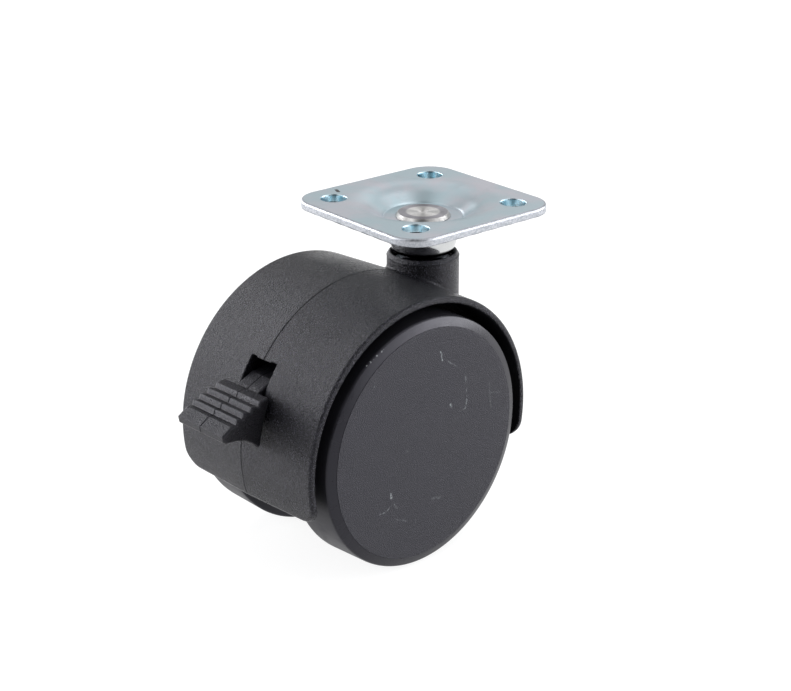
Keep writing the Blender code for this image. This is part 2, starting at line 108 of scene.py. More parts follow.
# --- housing ---
HOOD_MID_R = 29.3
HOOD_SIDE_R = 28.75
HOOD_INNER_R = 27.4
HOOD_HALF_W = 19.0
HOOD_BOTTOM_Z = -48.2
HOOD_EDGE_R = 0.65
HOOD_RIM_EDGE_R = 0.35
SKIRT_CORNER_R = 3.9
BAY_CORNER_R = 0.7               # where a wheel's bay meets the web between the wheels
WEB_HALF_T = 2.0
WEB_BOTTOM_Z = -44.0
WEB_EDGE_R = 0.3
WEB_OVERLAP = 0.6                # how far the web runs on into the hood's skin
RING_ONLY_Z = WEB_BOTTOM_Z - 3.0
BOSS_R = 7.24
BOSS_TOP_Z = -10.3
BOSS_END_Z = -35.4
BOSS_MOUTH_R = 6.35
BOSS_MOUTH_EDGE_R = 0.28
BOSS_COUNTERBORE_Z = -13.2
BOSS_BORE_R = 5.7
BOSS_BORE_EDGE_R = 0.2
BOSS_BORE_END_Z = -33.4
BOSS_SHOULDER_W = 0.75
BOSS_SHOULDER_H = 1.6
BOSS_FILLET_R = 0.6
CREASE_Z = -11.15                # a faint raised line round the boss's shoulder
CREASE_H = 0.11
CREASE_W = 0.14
HUB_R = 6.5
HUB_HALF_W = 6.8
HUB_EDGE_R = 0.3
HUB_FILLET_R = 0.5
CHEEK_HALF_W = 5.6               # the walls that hold the lever's pivot pin
CHEEK_X = -33.2
CHEEK_TOP_Z = -20.5
CHEEK_BOTTOM_Z = -35.5
CHEEK_FILLET_R = 0.4
CHEEK_OVERLAP = 0.7
SLOT_HALF_W = 3.5
SLOT_EDGE_R = 0.25
SLOT_OUTLINE = (
    (-52.0, -32.4), (-44.0, -32.4), (-44.0, -33.7), (-25.2, -33.7),
    (-25.2, -20.4), (-34.5, -20.4), (-36.5, -22.05), (-52.0, -22.05),
)
AXLE_HOLE_R = 3.3
PIVOT_HOLE_R = 1.55
PARTING_W = 0.13                 # half width of the mould's witness line
PARTING_D = 0.13

# --- wheels ---
FACE_Y = 20.0                    # outer face of a wheel's cap
SHOULDER_Y = 19.2                # where the tread turns into its polished shoulder
SHOULDER_BLEND = 0.4

# --- meshing ---
BLOCK = 4                        # grid cells per side of a block that is first tested as a whole
BLOCK_MARGIN = 1.15              # allowance for a field that isn't quite the true distance
SETTLE_STEPS = 3                 # times each vertex moves towards the true surface
SETTLE_REACH = 0.5               # longest such move, as a share of the grid's step
SETTLE_SPAN = 0.02               # half length over which a slope is measured while settling
NORMAL_SPAN = 0.03               # the same for the final normals
LEAST_STEEPNESS = 0.3            # keeps a move short where the field is flat
CORNERS = [(a, b, c) for a in (0, 1) for b in (0, 1) for c in (0, 1)]
ROUNDING_STEPS = 6               # segments of a rounded corner in a turned profile
ROUNDING_REACH = 0.49            # most of a side that one rounded corner may take
LATHE_STEP = 1.2                 # longest segment of a turned profile
TINY = 1e-9


# --- fields: negative inside, close to the true distance --------------------------------------
def rounded_max(a, b, k):
    """Intersection of two fields with a rounded edge of radius k."""
    beyond = np.hypot(np.maximum(a + k, 0.0), np.maximum(b + k, 0.0))
    return np.minimum(-k, np.maximum(a, b)) + beyond


def rounded_min(a, b, k):
    """Union of two fields with a fillet of radius k."""
    return -rounded_max(-a, -b, k)


def polygon_field(u, v, corners):
    """Distance to a closed outline in the plane, negative inside."""
    best = np.full(u.shape, 1e9)
    sign = np.ones(u.shape)
    count = len(corners)
    for i in range(count):
        ax, ay = corners[i]
        bx, by = corners[i - 1]
        ex, ey = bx - ax, by - ay
        wx, wy = u - ax, v - ay
        t = np.clip((wx * ex + wy * ey) / (ex * ex + ey * ey), 0.0, 1.0)
        dx, dy = wx - ex * t, wy - ey * t
        best = np.minimum(best, dx * dx + dy * dy)
        above_a = v >= ay
        below_b = v < by
        left = ex * wy > ey * wx
        flip = (above_a & below_b & left) | (~above_a & ~below_b & ~left)
        sign = np.where(flip, -sign, sign)
    return sign * np.sqrt(best)


def grid_line(lo, hi, step, fine):
    """Positions from lo to hi at `step`, closer inside each (start, end, step) of `fine`."""
    marks = [lo]
    while marks[-1] < hi:
        here = marks[-1]
        size = step
        for start, end, small in fine:
            if start <= here < end:
                size = min(size, small)
            elif here < start < here + size:
                size = max(start - here, small)
        marks.append(here + size)
    return np.array(marks)


def grid_round(node, margins, steps, fine):
    """Grid lines along x, y and z that reach past a CAD piece's box by the margins."""
    lo, hi = cad_box(node)
    return [grid_line(lo[n] - margins[n], hi[n] + margins[n], steps[n], fine[n]) for n in range(3)]


def padded(line):
    """The grid line, made longer until it holds a whole number of blocks."""
    extra = (-(len(line) - 1)) % BLOCK
    step = line[-1] - line[-2]
    return np.concatenate([line, line[-1] + step * np.arange(1, extra + 1)])


def sampled(field, axes):
    """Field values on the grid; a block far from the surface only takes its centre's value."""
    shape = tuple(len(a) for a in axes)
    blocks = tuple((n - 1) // BLOCK for n in shape)
    centres = [(a[:-1:BLOCK] + a[BLOCK::BLOCK]) / 2 for a in axes]
    halves = [(a[BLOCK::BLOCK] - a[:-1:BLOCK]) / 2 for a in axes]
    cx, cy, cz = np.meshgrid(*centres, indexing="ij")
    hx, hy, hz = np.meshgrid(*halves, indexing="ij")
    mid = field(cx.ravel(), cy.ravel(), cz.ravel()).reshape(blocks)
    near = np.abs(mid) <= np.sqrt(hx * hx + hy * hy + hz * hz) * BLOCK_MARGIN
    for axis in range(3):
        mid = np.repeat(mid, BLOCK, axis=axis)
        near = np.repeat(near, BLOCK, axis=axis)
    values = np.empty(shape)
    values[:-1, :-1, :-1] = mid
    values[-1] = values[-2]
    values[:, -1] = values[:, -2]
    values[:, :, -1] = values[:, :, -2]
    want = np.zeros(shape, bool)
    nx, ny, nz = near.shape
    for a, b, c in CORNERS:
        want[a:a + nx, b:b + ny, c:c + nz] |= near
    i, j, k = np.nonzero(want)
    values[i, j, k] = field(axes[0][i], axes[1][j], axes[2][k])
    return values


def cell_points(values, axes):
    """One vertex for each cell that the surface crosses, at the mean of its edges' crossings."""
    inside = values < 0
    nx, ny, nz = (n - 1 for n in values.shape)
    total = np.zeros((nx, ny, nz), np.int8)
    for a, b, c in CORNERS:
        total += inside[a:a + nx, b:b + ny, c:c + nz]
    cells = np.nonzero((total > 0) & (total < len(CORNERS)))
    count = len(cells[0])
    number = np.full(total.shape, -1, np.int64)
    number[cells] = np.arange(count)
    place = np.zeros((count, 3))
    hits = np.zeros(count)
    for a in CORNERS:
        for axis in range(3):
            if a[axis]:
                continue
            b = tuple(v + (1 if n == axis else 0) for n, v in enumerate(a))
            ia = tuple(cell + v for cell, v in zip(cells, a))
            ib = tuple(cell + v for cell, v in zip(cells, b))
            va, vb = values[ia], values[ib]
            cross = (va < 0) != (vb < 0)
            t = np.where(cross, va / np.where(cross, va - vb, 1.0), 0.0)
            for n in range(3):
                pa, pb = axes[n][ia[n]], axes[n][ib[n]]
                place[:, n] += np.where(cross, pa + (pb - pa) * t, 0.0)
            hits += cross
    return number, place / hits[:, None]


def face_rings(inside, number):
    """A quad round each grid edge that the surface crosses, wound to face outwards."""
    quads = []
    for axis in range(3):
        u, v = [n for n in range(3) if n != axis]
        lo = [slice(None)] * 3
        hi = [slice(None)] * 3
        lo[axis] = slice(0, -1)
        hi[axis] = slice(1, None)
        idx = np.array(np.nonzero(inside[tuple(lo)] != inside[tuple(hi)]))
        last_u, last_v = inside.shape[u] - 1, inside.shape[v] - 1
        keep = (idx[u] > 0) & (idx[u] < last_u) & (idx[v] > 0) & (idx[v] < last_v)
        idx = idx[:, keep]
        ring = []
        for du, dv in ((-1, -1), (0, -1), (0, 0), (-1, 0)):
            cell = idx.copy()
            cell[u] += du
            cell[v] += dv
            ring.append(number[tuple(cell)])
        ring = np.stack(ring, 1)
        first_inside = inside[tuple(idx)]
        flip = first_inside if axis == 1 else ~first_inside
        ring[flip] = ring[flip][:, ::-1]
        quads.append(ring)
    return np.concatenate(quads)


def gradient(field, points, span):
    """Slope of the field along x, y and z, measured from span behind to span ahead."""
    out = np.empty_like(points)
    for n in range(3):
        moved = points.copy()
        moved[:, n] += span
        ahead = field(*moved.T)
        moved[:, n] -= 2 * span
        out[:, n] = (ahead - field(*moved.T)) / (2 * span)
    return out


def mesh_from_field(name, field, lines):
    """Quad mesh of a field's zero surface on the grid lines, with its true normals."""
    axes = [padded(line) for line in lines]
    values = sampled(field, axes)
    number, place = cell_points(values, axes)
    quads = face_rings(values < 0, number)
    step = min(float(np.median(np.diff(a))) for a in axes)
    for _ in range(SETTLE_STEPS):
        slope = gradient(field, place, SETTLE_SPAN)
        steepness = np.maximum((slope * slope).sum(1), LEAST_STEEPNESS)
        move = -field(*place.T)[:, None] * slope / steepness[:, None]
        size = np.linalg.norm(move, axis=1)
        move *= np.minimum(1.0, SETTLE_REACH * step / np.maximum(size, TINY))[:, None]
        place += move
    normal = gradient(field, place, NORMAL_SPAN)
    normal /= np.maximum(np.linalg.norm(normal, axis=1), TINY)[:, None]
    return mesh_from_arrays(name, place, quads, normal)


def mesh_from_arrays(name, place, quads, normal):
    """Smooth mesh of vertices, quads of vertex numbers and vertex normals."""
    mesh = bpy.data.meshes.new(name)
    mesh.vertices.add(len(place))
    mesh.vertices.foreach_set("co", (place * MM).astype(np.float32).ravel())
    mesh.loops.add(len(quads) * 4)
    mesh.loops.foreach_set("vertex_index", quads.astype(np.int32).ravel())
    mesh.polygons.add(len(quads))
    mesh.polygons.foreach_set("loop_start", np.arange(0, len(quads) * 4, 4, dtype=np.int32))
    mesh.update(calc_edges=True)
    mesh.validate()
    mesh.shade_smooth()
    mesh.normals_split_custom_set_from_vertices([tuple(n) for n in normal])
    return mesh


# --- turned profiles --------------------------------------------------------------------------
def arc(cx, cy, r, a0, a1, n):
    """Points of an arc from angle a0 to a1 (degrees) in n segments."""
    pts = []
    for i in range(n + 1):
        a = math.radians(a0 + (a1 - a0) * i / n)
        pts.append((cx + r * math.cos(a), cy + r * math.sin(a)))
    return pts


def softened(profile):
    """Closed profile; its corners, given as (r, h, radius), become arcs of that radius."""
    out = []
    count = len(profile)
    for i in range(count):
        r0, h0, _ = profile[i - 1]
        r1, h1, k = profile[i]
        r2, h2, _ = profile[(i + 1) % count]
        if k <= 0:
            out.append((r1, h1))
            continue
        corner = np.array([r1, h1])
        a = np.array([r0 - r1, h0 - h1])
        b = np.array([r2 - r1, h2 - h1])
        la, lb = np.linalg.norm(a), np.linalg.norm(b)
        a, b = a / la, b / lb
        half = math.acos(max(-1.0, min(1.0, float(a @ b)))) / 2
        reach = min(k / math.tan(half), ROUNDING_REACH * la, ROUNDING_REACH * lb)
        start = corner + a * reach
        end = corner + b * reach
        for s in range(ROUNDING_STEPS + 1):
            t = s / ROUNDING_STEPS
            p = (1 - t) ** 2 * start + 2 * t * (1 - t) * corner + t * t * end
            out.append((float(p[0]), float(p[1])))
    return out


def lathe_mesh(name, profile, axis, centre, sides, side=1, sharp_deg=40):
    """Turned solid from a closed outline of (radius, height); axis Z or Y through centre."""
    dense = []
    count = len(profile)
    for i in range(count):
        a = np.array(profile[i])
        b = np.array(profile[(i + 1) % count])
        dense.append(a)
        parts = int(np.linalg.norm(b - a) / LATHE_STEP)
        for s in range(1, parts + 1):
            dense.append(a + (b - a) * s / (parts + 1))
    place, faces, rings = [], [], []
    for r, h in dense:
        ring = []
        for i in range(1 if r < TINY else sides):
            a = 2 * math.pi * i / sides
            u, v = centre[0] + r * math.cos(a), centre[1] + r * math.sin(a)
            ring.append(len(place))
            place.append((u, v, h) if axis == "Z" else (u, h * side, v))
        rings.append(ring)
    for k, lo in enumerate(rings):
        hi = rings[(k + 1) % len(rings)]
        for i in range(sides):
            j = (i + 1) % sides
            ring = (lo[i % len(lo)], lo[j % len(lo)], hi[j % len(hi)], hi[i % len(hi)])
            face = list(dict.fromkeys(ring))
            if len(face) > 2:
                faces.append(face)
    mesh = bpy.data.meshes.new(name)
    mesh.from_pydata([tuple(c * MM for c in p) for p in place], [], faces)
    bm = bmesh.new()
    bm.from_mesh(mesh)
    bmesh.ops.recalc_face_normals(bm, faces=bm.faces)
    bm.to_mesh(mesh)
    bm.free()
    mesh.shade_smooth()
    mesh.set_sharp_from_angle(angle=math.radians(sharp_deg))
    return mesh


# --- pieces -----------------------------------------------------------------------------------
def add_piece(name, mesh, body, mat, node):
    """A visual piece that rides on a body and stands in for one of the CAD's nodes."""
    piece = bpy.data.objects.new(name, mesh)
    bpy.context.scene.collection.objects.link(piece)
    mesh.materials.append(mat)
    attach(piece, body)
    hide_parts(node)


def second_material(mesh, mat, chosen):
    """Faces whose centre passes `chosen` take a material of their own."""
    mesh.materials.append(mat)
    centres = np.empty(len(mesh.polygons) * 3)
    mesh.polygons.foreach_get("center", centres)
    x, y, z = centres.reshape(-1, 3).T / MM
    mesh.polygons.foreach_set("material_index", chosen(x, y, z).astype(np.int32))


# --- materials --------------------------------------------------------------------------------
class Shader:
    """Short way to build a node material round one Principled shader."""

    def __init__(self, name, colour, rough, metal=0.0, **sockets):
        self.mat = bpy.data.materials.new(name)
        self.mat.use_nodes = True
        self.tree = self.mat.node_tree
        self.bsdf = self.tree.nodes["Principled BSDF"]
        self.set("Base Color", (*colour, 1.0))
        self.set("Roughness", rough)
        self.set("Metallic", metal)
        for key, value in sockets.items():
            self.set(key.replace("_", " "), value)
        self.coords = self.tree.nodes.new("ShaderNodeTexCoord").outputs["Object"]

    def set(self, socket, value):
        self.bsdf.inputs[socket].default_value = value

    def to(self, socket, value):
        self.tree.links.new(value, self.bsdf.inputs[socket])

    def _put(self, node, index, value):
        if isinstance(value, bpy.types.NodeSocket):
            self.tree.links.new(value, node.inputs[index])
        else:
            node.inputs[index].default_value = value

    def math(self, op, a, b=0.0, clamp=False):
        node = self.tree.nodes.new("ShaderNodeMath")
        node.operation = op
        node.use_clamp = clamp
        self._put(node, 0, a)
        self._put(node, 1, b)
        return node.outputs[0]

    def vector_math(self, op, a, b=None):
        node = self.tree.nodes.new("ShaderNodeVectorMath")
        node.operation = op
        self._put(node, 0, a)
        if b is not None:
            self._put(node, 3 if op == "SCALE" else 1, b)
        return node.outputs[1 if op in ("DOT_PRODUCT", "LENGTH") else 0]

    def hypot(self, a, b):
        squares = [self.math("POWER", value, 2.0) for value in (a, b)]
        return self.math("SQRT", self.math("ADD", *squares))

    def component(self, vector, which):
        node = self.tree.nodes.new("ShaderNodeSeparateXYZ")
        self._put(node, 0, vector)
        return node.outputs[which]

    def mapped(self, scale=(1.0, 1.0, 1.0), turn=(0.0, 0.0, 0.0), move=(0.0, 0.0, 0.0)):
        """The object's coordinates, scaled, turned and moved."""
        node = self.tree.nodes.new("ShaderNodeMapping")
        self._put(node, "Vector", self.coords)
        self._put(node, "Scale", scale)
        self._put(node, "Rotation", turn)
        self._put(node, "Location", tuple(c * MM for c in move))
        return node.outputs[0]

    def shaken(self, scale, reach):
        """Coordinates pushed about by noise, so that strokes lose their straight edges."""
        node = self.tree.nodes.new("ShaderNodeTexNoise")
        self._put(node, "Vector", self.coords)
        self._put(node, "Scale", scale)
        self._put(node, "Detail", 2.0)
        push = self.vector_math("SUBTRACT", node.outputs["Color"], (0.5, 0.5, 0.5))
        return self.vector_math("ADD", self.coords, self.vector_math("SCALE", push, reach * MM))

    def noise(self, scale, detail, rough, vector=None, distortion=0.0):
        node = self.tree.nodes.new("ShaderNodeTexNoise")
        self._put(node, "Vector", vector or self.coords)
        self._put(node, "Scale", scale)
        self._put(node, "Detail", detail)
        self._put(node, "Roughness", rough)
        self._put(node, "Distortion", distortion)
        return node.outputs["Fac"]

    def ramp(self, value, lo, hi, out_lo=0.0, out_hi=1.0):
        """Smooth step from out_lo, where the value is lo, to out_hi, where it is hi."""
        node = self.tree.nodes.new("ShaderNodeMapRange")
        node.interpolation_type = "SMOOTHSTEP"
        self._put(node, "Value", value)
        self._put(node, "From Min", lo)
        self._put(node, "From Max", hi)
        self._put(node, "To Min", out_lo)
        self._put(node, "To Max", out_hi)
        return node.outputs["Result"]

    def ramp_at(self, place, lo, hi, out_lo=0.0, out_hi=1.0):
        """The same along a measure of place; lo and hi are lengths."""
        return self.ramp(place, lo * MM, hi * MM, out_lo, out_hi)

    def off_middle(self):
        """Distance from the caster's middle plane."""
        return self.math("ABSOLUTE", self.component(self.coords, 1))

    def segment(self, start, end, width, strength, coords=None):
        """Soft stroke of that half width between two points of the object."""
        start = tuple(c * MM for c in start)
        run = tuple(b * MM - a for a, b in zip(start, end))
        size = sum(c * c for c in run)
        along = tuple(c / size for c in run)
        here = self.vector_math("SUBTRACT", coords or self.coords, start)
        t = self.math("ADD", self.vector_math("DOT_PRODUCT", here, along), 0.0, clamp=True)
        step = self.vector_math("SCALE", run, t)
        away = self.vector_math("LENGTH", self.vector_math("SUBTRACT", here, step))
        return self.ramp_at(away, width * 0.3, width, strength, 0.0)

    def blend(self, factor, a, b):
        """Mix of two colours."""
        node = self.tree.nodes.new("ShaderNodeMix")
        node.data_type = "RGBA"
        self._put(node, "Factor", factor)
        for index, value in ((6, a), (7, b)):
            if isinstance(value, tuple):
                value = (*value, 1.0)
            self._put(node, index, value)
        return node.outputs[2]

    def blend_value(self, factor, a, b):
        """Mix of two numbers."""
        change = self.math("SUBTRACT", b, a)
        return self.math("ADD", a, self.math("MULTIPLY", factor, change))

    def bump(self, height, depth, strength):
        node = self.tree.nodes.new("ShaderNodeBump")
        self._put(node, "Strength", strength)
        self._put(node, "Distance", depth * MM)
        self._put(node, "Height", height)
        self.to("Normal", node.outputs["Normal"])


NYLON_TINT = (0.90, 0.885, 1.0, 1.0)    # nylon's reflections lean to blue


def textured_nylon():
    """Black nylon from a spark-eroded mould: fine grain whose tips are painted light as glints,
    and a thin witness line painted dark as the shade in its groove.
    """
    s = Shader("black_nylon_textured", (0.005, 0.005, 0.006), 0.42,
               Specular_IOR_Level=0.27, Specular_Tint=NYLON_TINT)
    grain = s.noise(3400.0, 2.0, 0.8)
    coarse = s.noise(1500.0, 1.0, 0.5)
    height = s.math("ADD", s.math("MULTIPLY", grain, 0.9), s.math("MULTIPLY", coarse, 0.25))
    s.bump(height, 0.30, 1.0)
    cloud = s.noise(60.0, 4.0, 0.55)
    uneven = s.math("ADD", cloud, s.math("MULTIPLY", grain, 0.5))
    s.to("Roughness", s.ramp(uneven, 0.5, 1.0, 0.18, 0.29))
    # painted glints: the grain's raised tips are lighter in colour, standing in for light caught
    # on them
    glint_tips = s.ramp(grain, 0.55, 0.61)
    colour = s.blend(glint_tips, (0.0003, 0.0003, 0.0008), (0.030, 0.029, 0.039))
    # painted shade: the witness line is darkened as the shade that falls in its groove
    line = s.ramp_at(s.off_middle(), 0.08, 0.18, 1.0, 0.0)
    s.to("Base Color", s.blend(line, colour, (0.0015, 0.0015, 0.0022)))
    return s.mat


def shaded_inner_nylon():
    """The hood's inner faces, never seen in the light: smooth and matt, and darker than the outer
    nylon as painted shade.
    """
    s = Shader("black_nylon_inner_shaded", (0.003, 0.003, 0.004), 0.6, Specular_IOR_Level=0.06)
    cloud = s.noise(300.0, 3.0, 0.6)
    s.to("Roughness", s.ramp(cloud, 0.3, 0.8, 0.55, 0.75))
    s.to("Base Color", s.blend(cloud, (0.0022, 0.0022, 0.0030), (0.0042, 0.0042, 0.0055)))
    s.bump(cloud, 0.02, 0.8)
    return s.mat


# small light chips where the hood has rubbed the left tread's shoulder: x, z, size
TREAD_CHIPS = (
    (-33.4, -19.7, 0.10), (-32.5, -19.3, 0.12), (-31.7, -19.0, 0.10), (-30.9, -18.5, 0.13),
    (-30.3, -18.4, 0.10), (-29.7, -18.0, 0.16), (-29.2, -17.7, 0.11),
)
CHIP_SPREAD = 1.9                # half width of a chip for its size, with the soft edge
CHIP_LENGTH = 0.1


def gloss_nylon():
    """Smooth black tread, polished on its shoulder, with small chips there."""
    s = Shader("black_nylon_gloss", (0.005, 0.005, 0.006), 0.2,
               Specular_IOR_Level=0.25, Specular_Tint=NYLON_TINT)
    smear = s.noise(120.0, 5.0, 0.6, distortion=0.6)
    shoulder = s.ramp_at(s.off_middle(), SHOULDER_Y - SHOULDER_BLEND, SHOULDER_Y)
    dull = s.ramp(smear, 0.35, 0.75, 0.42, 0.56)
    polished = s.ramp(smear, 0.35, 0.75, 0.24, 0.38)
    s.to("Roughness", s.blend_value(shoulder, dull, polished))
    s.bump(s.noise(900.0, 3.0, 0.6), 0.01, 0.8)
    dots = s.ramp(s.noise(1100.0, 3.0, 0.7), 0.70, 0.76)
    where = s.ramp(s.noise(160.0, 2.0, 0.5), 0.60, 0.72)
    marks = s.math("MULTIPLY", s.math("MULTIPLY", dots, where), shoulder)
    for x, z, size in TREAD_CHIPS:
        start, end = (x, -SHOULDER_Y, z), (x + CHIP_LENGTH, -SHOULDER_Y, z)
        marks = s.math("MAXIMUM", marks, s.segment(start, end, size * CHIP_SPREAD, 1.0))
    marks = s.math("MULTIPLY", marks, s.ramp(s.noise(2600.0, 2.0, 0.6), 0.40, 0.52))
    tone = s.blend(smear, (0.0090, 0.0088, 0.0115), (0.0155, 0.0152, 0.0190))
    s.to("Base Color", s.blend(marks, tone, (0.36, 0.38, 0.39)))
    return s.mat


# light marks on the left wheel's face: x, z of both ends, half width, strength
FACE_MARKS = (
    (-15.0, -22.1, -14.5, -24.1, 0.26, 0.75),
    (-13.1, -24.5, -11.7, -25.5, 0.16, 0.35),
    (-11.7, -25.5, -10.6, -26.6, 0.14, 0.25),
    (-8.4, -28.8, -8.1, -29.9, 0.26, 0.45),
    (-8.1, -30.0, -7.8, -34.2, 0.13, 0.26),
    (-7.8, -34.2, -8.3, -35.7, 0.24, 0.5),
    (-8.4, -35.8, -9.5, -36.1, 0.18, 0.40),
    (-9.5, -36.2, -10.8, -37.7, 0.13, 0.25),
    (-12.3, -33.7, -12.0, -34.3, 0.30, 0.6),
    (-1.6, -32.5, -0.9, -38.1, 0.26, 0.16),
    (-1.2, -34.7, 1.6, -35.4, 0.20, 0.16),
    (-28.15, -47.3, -28.0, -48.2, 0.34, 0.9),
    (-31.1, -50.6, -29.5, -50.6, 0.17, 0.40),
    (-29.5, -50.6, -28.5, -50.0, 0.20, 0.45),
    (-27.4, -49.8, -26.6, -50.8, 0.26, 0.35),
    (-17.2, -52.2, -15.0, -52.6, 0.40, 0.20),
    (-26.9, -53.2, -24.3, -54.4, 0.20, 0.20),
    (-18.7, -25.1, -17.4, -25.7, 0.20, 0.24),
    (-24.0, -39.7, -23.8, -40.0, 0.24, 0.32),
    (-3.8, -20.1, -2.6, -21.2, 0.60, 0.35),
)


def cap_nylon():
    """Finely textured wheel cap, dark grey, with light scuffs."""
    s = Shader("cap_nylon_textured", (0.010, 0.010, 0.012), 0.5,
               Specular_IOR_Level=0.31, Specular_Tint=NYLON_TINT)
    grain = s.noise(4200.0, 2.0, 0.7)
    s.bump(grain, 0.13, 1.0)
    cloud = s.noise(70.0, 5.0, 0.6)
    s.to("Roughness", s.ramp(cloud, 0.3, 0.8, 0.36, 0.48))
    patches = s.ramp(cloud, 0.35, 0.75)
    colour = s.blend(patches, (0.0058, 0.0056, 0.0078), (0.0104, 0.0102, 0.0134))
    colour = s.blend(s.ramp(grain, 0.44, 0.62), colour, (0.029, 0.0285, 0.036))

    shaken = s.shaken(900.0, 0.7)
    marks = 0.0
    for ax, az, bx, bz, width, strength in FACE_MARKS:
        start, end = (ax, -FACE_Y, az), (bx, -FACE_Y, bz)
        mark = s.segment(start, end, width, strength, shaken)
        marks = s.math("MAXIMUM", marks, mark)
    marks = s.math("MULTIPLY", marks, s.ramp(s.noise(2300.0, 3.0, 0.7), 0.40, 0.60))

    along = s.mapped(scale=(1.0, 1.0, 0.35), turn=(0.0, 0.5, 0.0))
    scratches = s.ramp(s.noise(700.0, 4.0, 0.75, along), 0.64, 0.74)
    where = s.ramp(s.noise(55.0, 2.0, 0.5, s.mapped(move=(13.0, 0.0, 0.0))), 0.48, 0.66)
    smudge = s.segment((-27.0, -FACE_Y, -54.0), (-24.0, -FACE_Y, -55.0), 8.0, 0.9)
    where = s.math("MAXIMUM", where, smudge)
    faint = s.math("MULTIPLY", s.math("MULTIPLY", scratches, where), 0.22)
    marks = s.math("MAXIMUM", marks, faint)
    s.to("Base Color", s.blend(marks, colour, (0.32, 0.35, 0.36)))
    return s.mat


def lever_nylon():
    """Textured nylon of the brake pedal: painted shade darkens its sides and its witness line, and
    its grain's tips are painted light as glints.
    """
    s = Shader("black_nylon_lever", (0.005, 0.005, 0.006), 0.40,
               Specular_IOR_Level=0.34, Specular_Tint=NYLON_TINT)
    grain = s.noise(3300.0, 2.0, 0.7)
    s.bump(grain, 0.20, 1.0)
    s.to("Roughness", s.ramp(s.noise(200.0, 4.0, 0.6), 0.3, 0.8, 0.26, 0.40))
    # painted glints: the grain's raised tips are lighter in colour, standing in for light caught
    # on them
    glint_tips = s.ramp(grain, 0.45, 0.70)
    colour = s.blend(glint_tips, (0.0020, 0.0020, 0.0030), (0.022, 0.0215, 0.027))
    # painted shade: the witness line and the pedal's sides are darkened as the shade that falls on
    # them
    line = s.ramp_at(s.off_middle(), 0.06, 0.14, 1.0, 0.0)
    side = s.ramp_at(s.off_middle(), 6.2, 6.6)
    s.to("Base Color", s.blend(s.math("MAXIMUM", line, side), colour, (0.0012, 0.0012, 0.0018)))
    return s.mat


SPECK = ((-7.5, 17.1, 0.0), (-8.1, 15.8, 0.0))    # a dark blemish on the plate
SPECK_W = 0.5


def zinc():
    """Bright zinc with a thin passivation that turns from teal to pink, faintly grained."""
    s = Shader("zinc_plate_blue", (0.50, 0.55, 0.58), 0.28, 1.0)
    cloud = s.noise(95.0, 4.0, 0.55, distortion=0.3)
    fine = s.noise(2600.0, 3.0, 0.65)
    colour = s.blend(s.ramp(cloud, 0.36, 0.66), (0.46, 0.57, 0.61), (0.57, 0.57, 0.61))
    dull = s.ramp(s.noise(260.0, 4.0, 0.6, s.mapped(move=(20.0, 10.0, 0.0))), 0.55, 0.8)
    colour = s.blend(s.math("MULTIPLY", dull, 0.35), colour, (0.40, 0.44, 0.47))

    turned = s.mapped(turn=(0.0, 0.0, -PLATE_TURN))
    off = [s.math("ABSOLUTE", s.component(turned, n)) for n in (0, 1)]
    from_hole = s.hypot(*[s.math("SUBTRACT", c, HOLE_AT * MM) for c in off])
    # painted reflections and shade: the hole walls take darker and lighter bands that run down the
    # wall
    wall = s.ramp_at(from_hole, HOLE_R - 0.05, HOLE_R + 0.08, 1.0, 0.0)
    reflection_bands = s.ramp(s.noise(900.0, 2.0, 0.6, s.mapped(scale=(1.0, 1.0, 0.12))), 0.40, 0.60)
    colour = s.blend(wall, colour, s.blend(reflection_bands, (0.26, 0.42, 0.49), (0.48, 0.60, 0.65)))

    past = [s.math("SUBTRACT", c, (PLATE_HALF - PLATE_CORNER_R) * MM) for c in off]
    rim = s.hypot(*[s.math("MAXIMUM", c, 0.0) for c in past])
    edge = s.ramp_at(rim, PLATE_CORNER_R - 0.60, PLATE_CORNER_R - 0.30)
    sheared = s.blend(s.ramp(fine, 0.40, 0.60), (0.34, 0.36, 0.39), (0.47, 0.48, 0.51))
    colour = s.blend(edge, colour, sheared)
    speck = s.segment(*SPECK, SPECK_W, 1.0, s.shaken(2500.0, 0.4))
    s.to("Base Color", s.blend(s.ramp(speck, 0.2, 0.5), colour, (0.02, 0.02, 0.02)))

    uneven = s.math("ADD", cloud, s.math("MULTIPLY", fine, 0.3))
    rolled = s.ramp(uneven, 0.4, 0.95, 0.28, 0.42)
    s.to("Roughness", s.blend_value(edge, rolled, s.ramp(fine, 0.3, 0.7, 0.34, 0.5)))
    s.bump(s.math("ADD", fine, s.math("MULTIPLY", cloud, 2.0)), 0.016, 0.9)
    return s.mat


def nickel_polished():
    """Bright nickel of the pin's bowl; the part down by the boss is painted dark as the black
    boss's reflection and the shade in its mouth.
    """
    s = Shader("nickel_polished", (0.64, 0.65, 0.65), 0.14, 1.0)
    fine = s.noise(1800.0, 4.0, 0.6)
    s.to("Roughness", s.ramp(fine, 0.3, 0.8, 0.10, 0.22))
    cloud = s.ramp(s.noise(240.0, 3.0, 0.6), 0.4, 0.7)
    bright = s.blend(cloud, (0.60, 0.61, 0.61), (0.50, 0.51, 0.52))
    # painted reflection and shade: below the boss's top the bowl turns near black
    painted_dark_low = s.ramp_at(s.component(s.coords, 2), -9.6, -8.8, 1.0, 0.0)
    s.to("Base Color", s.blend(painted_dark_low, bright, (0.015, 0.015, 0.018)))
    s.bump(fine, 0.010, 0.8)
    return s.mat


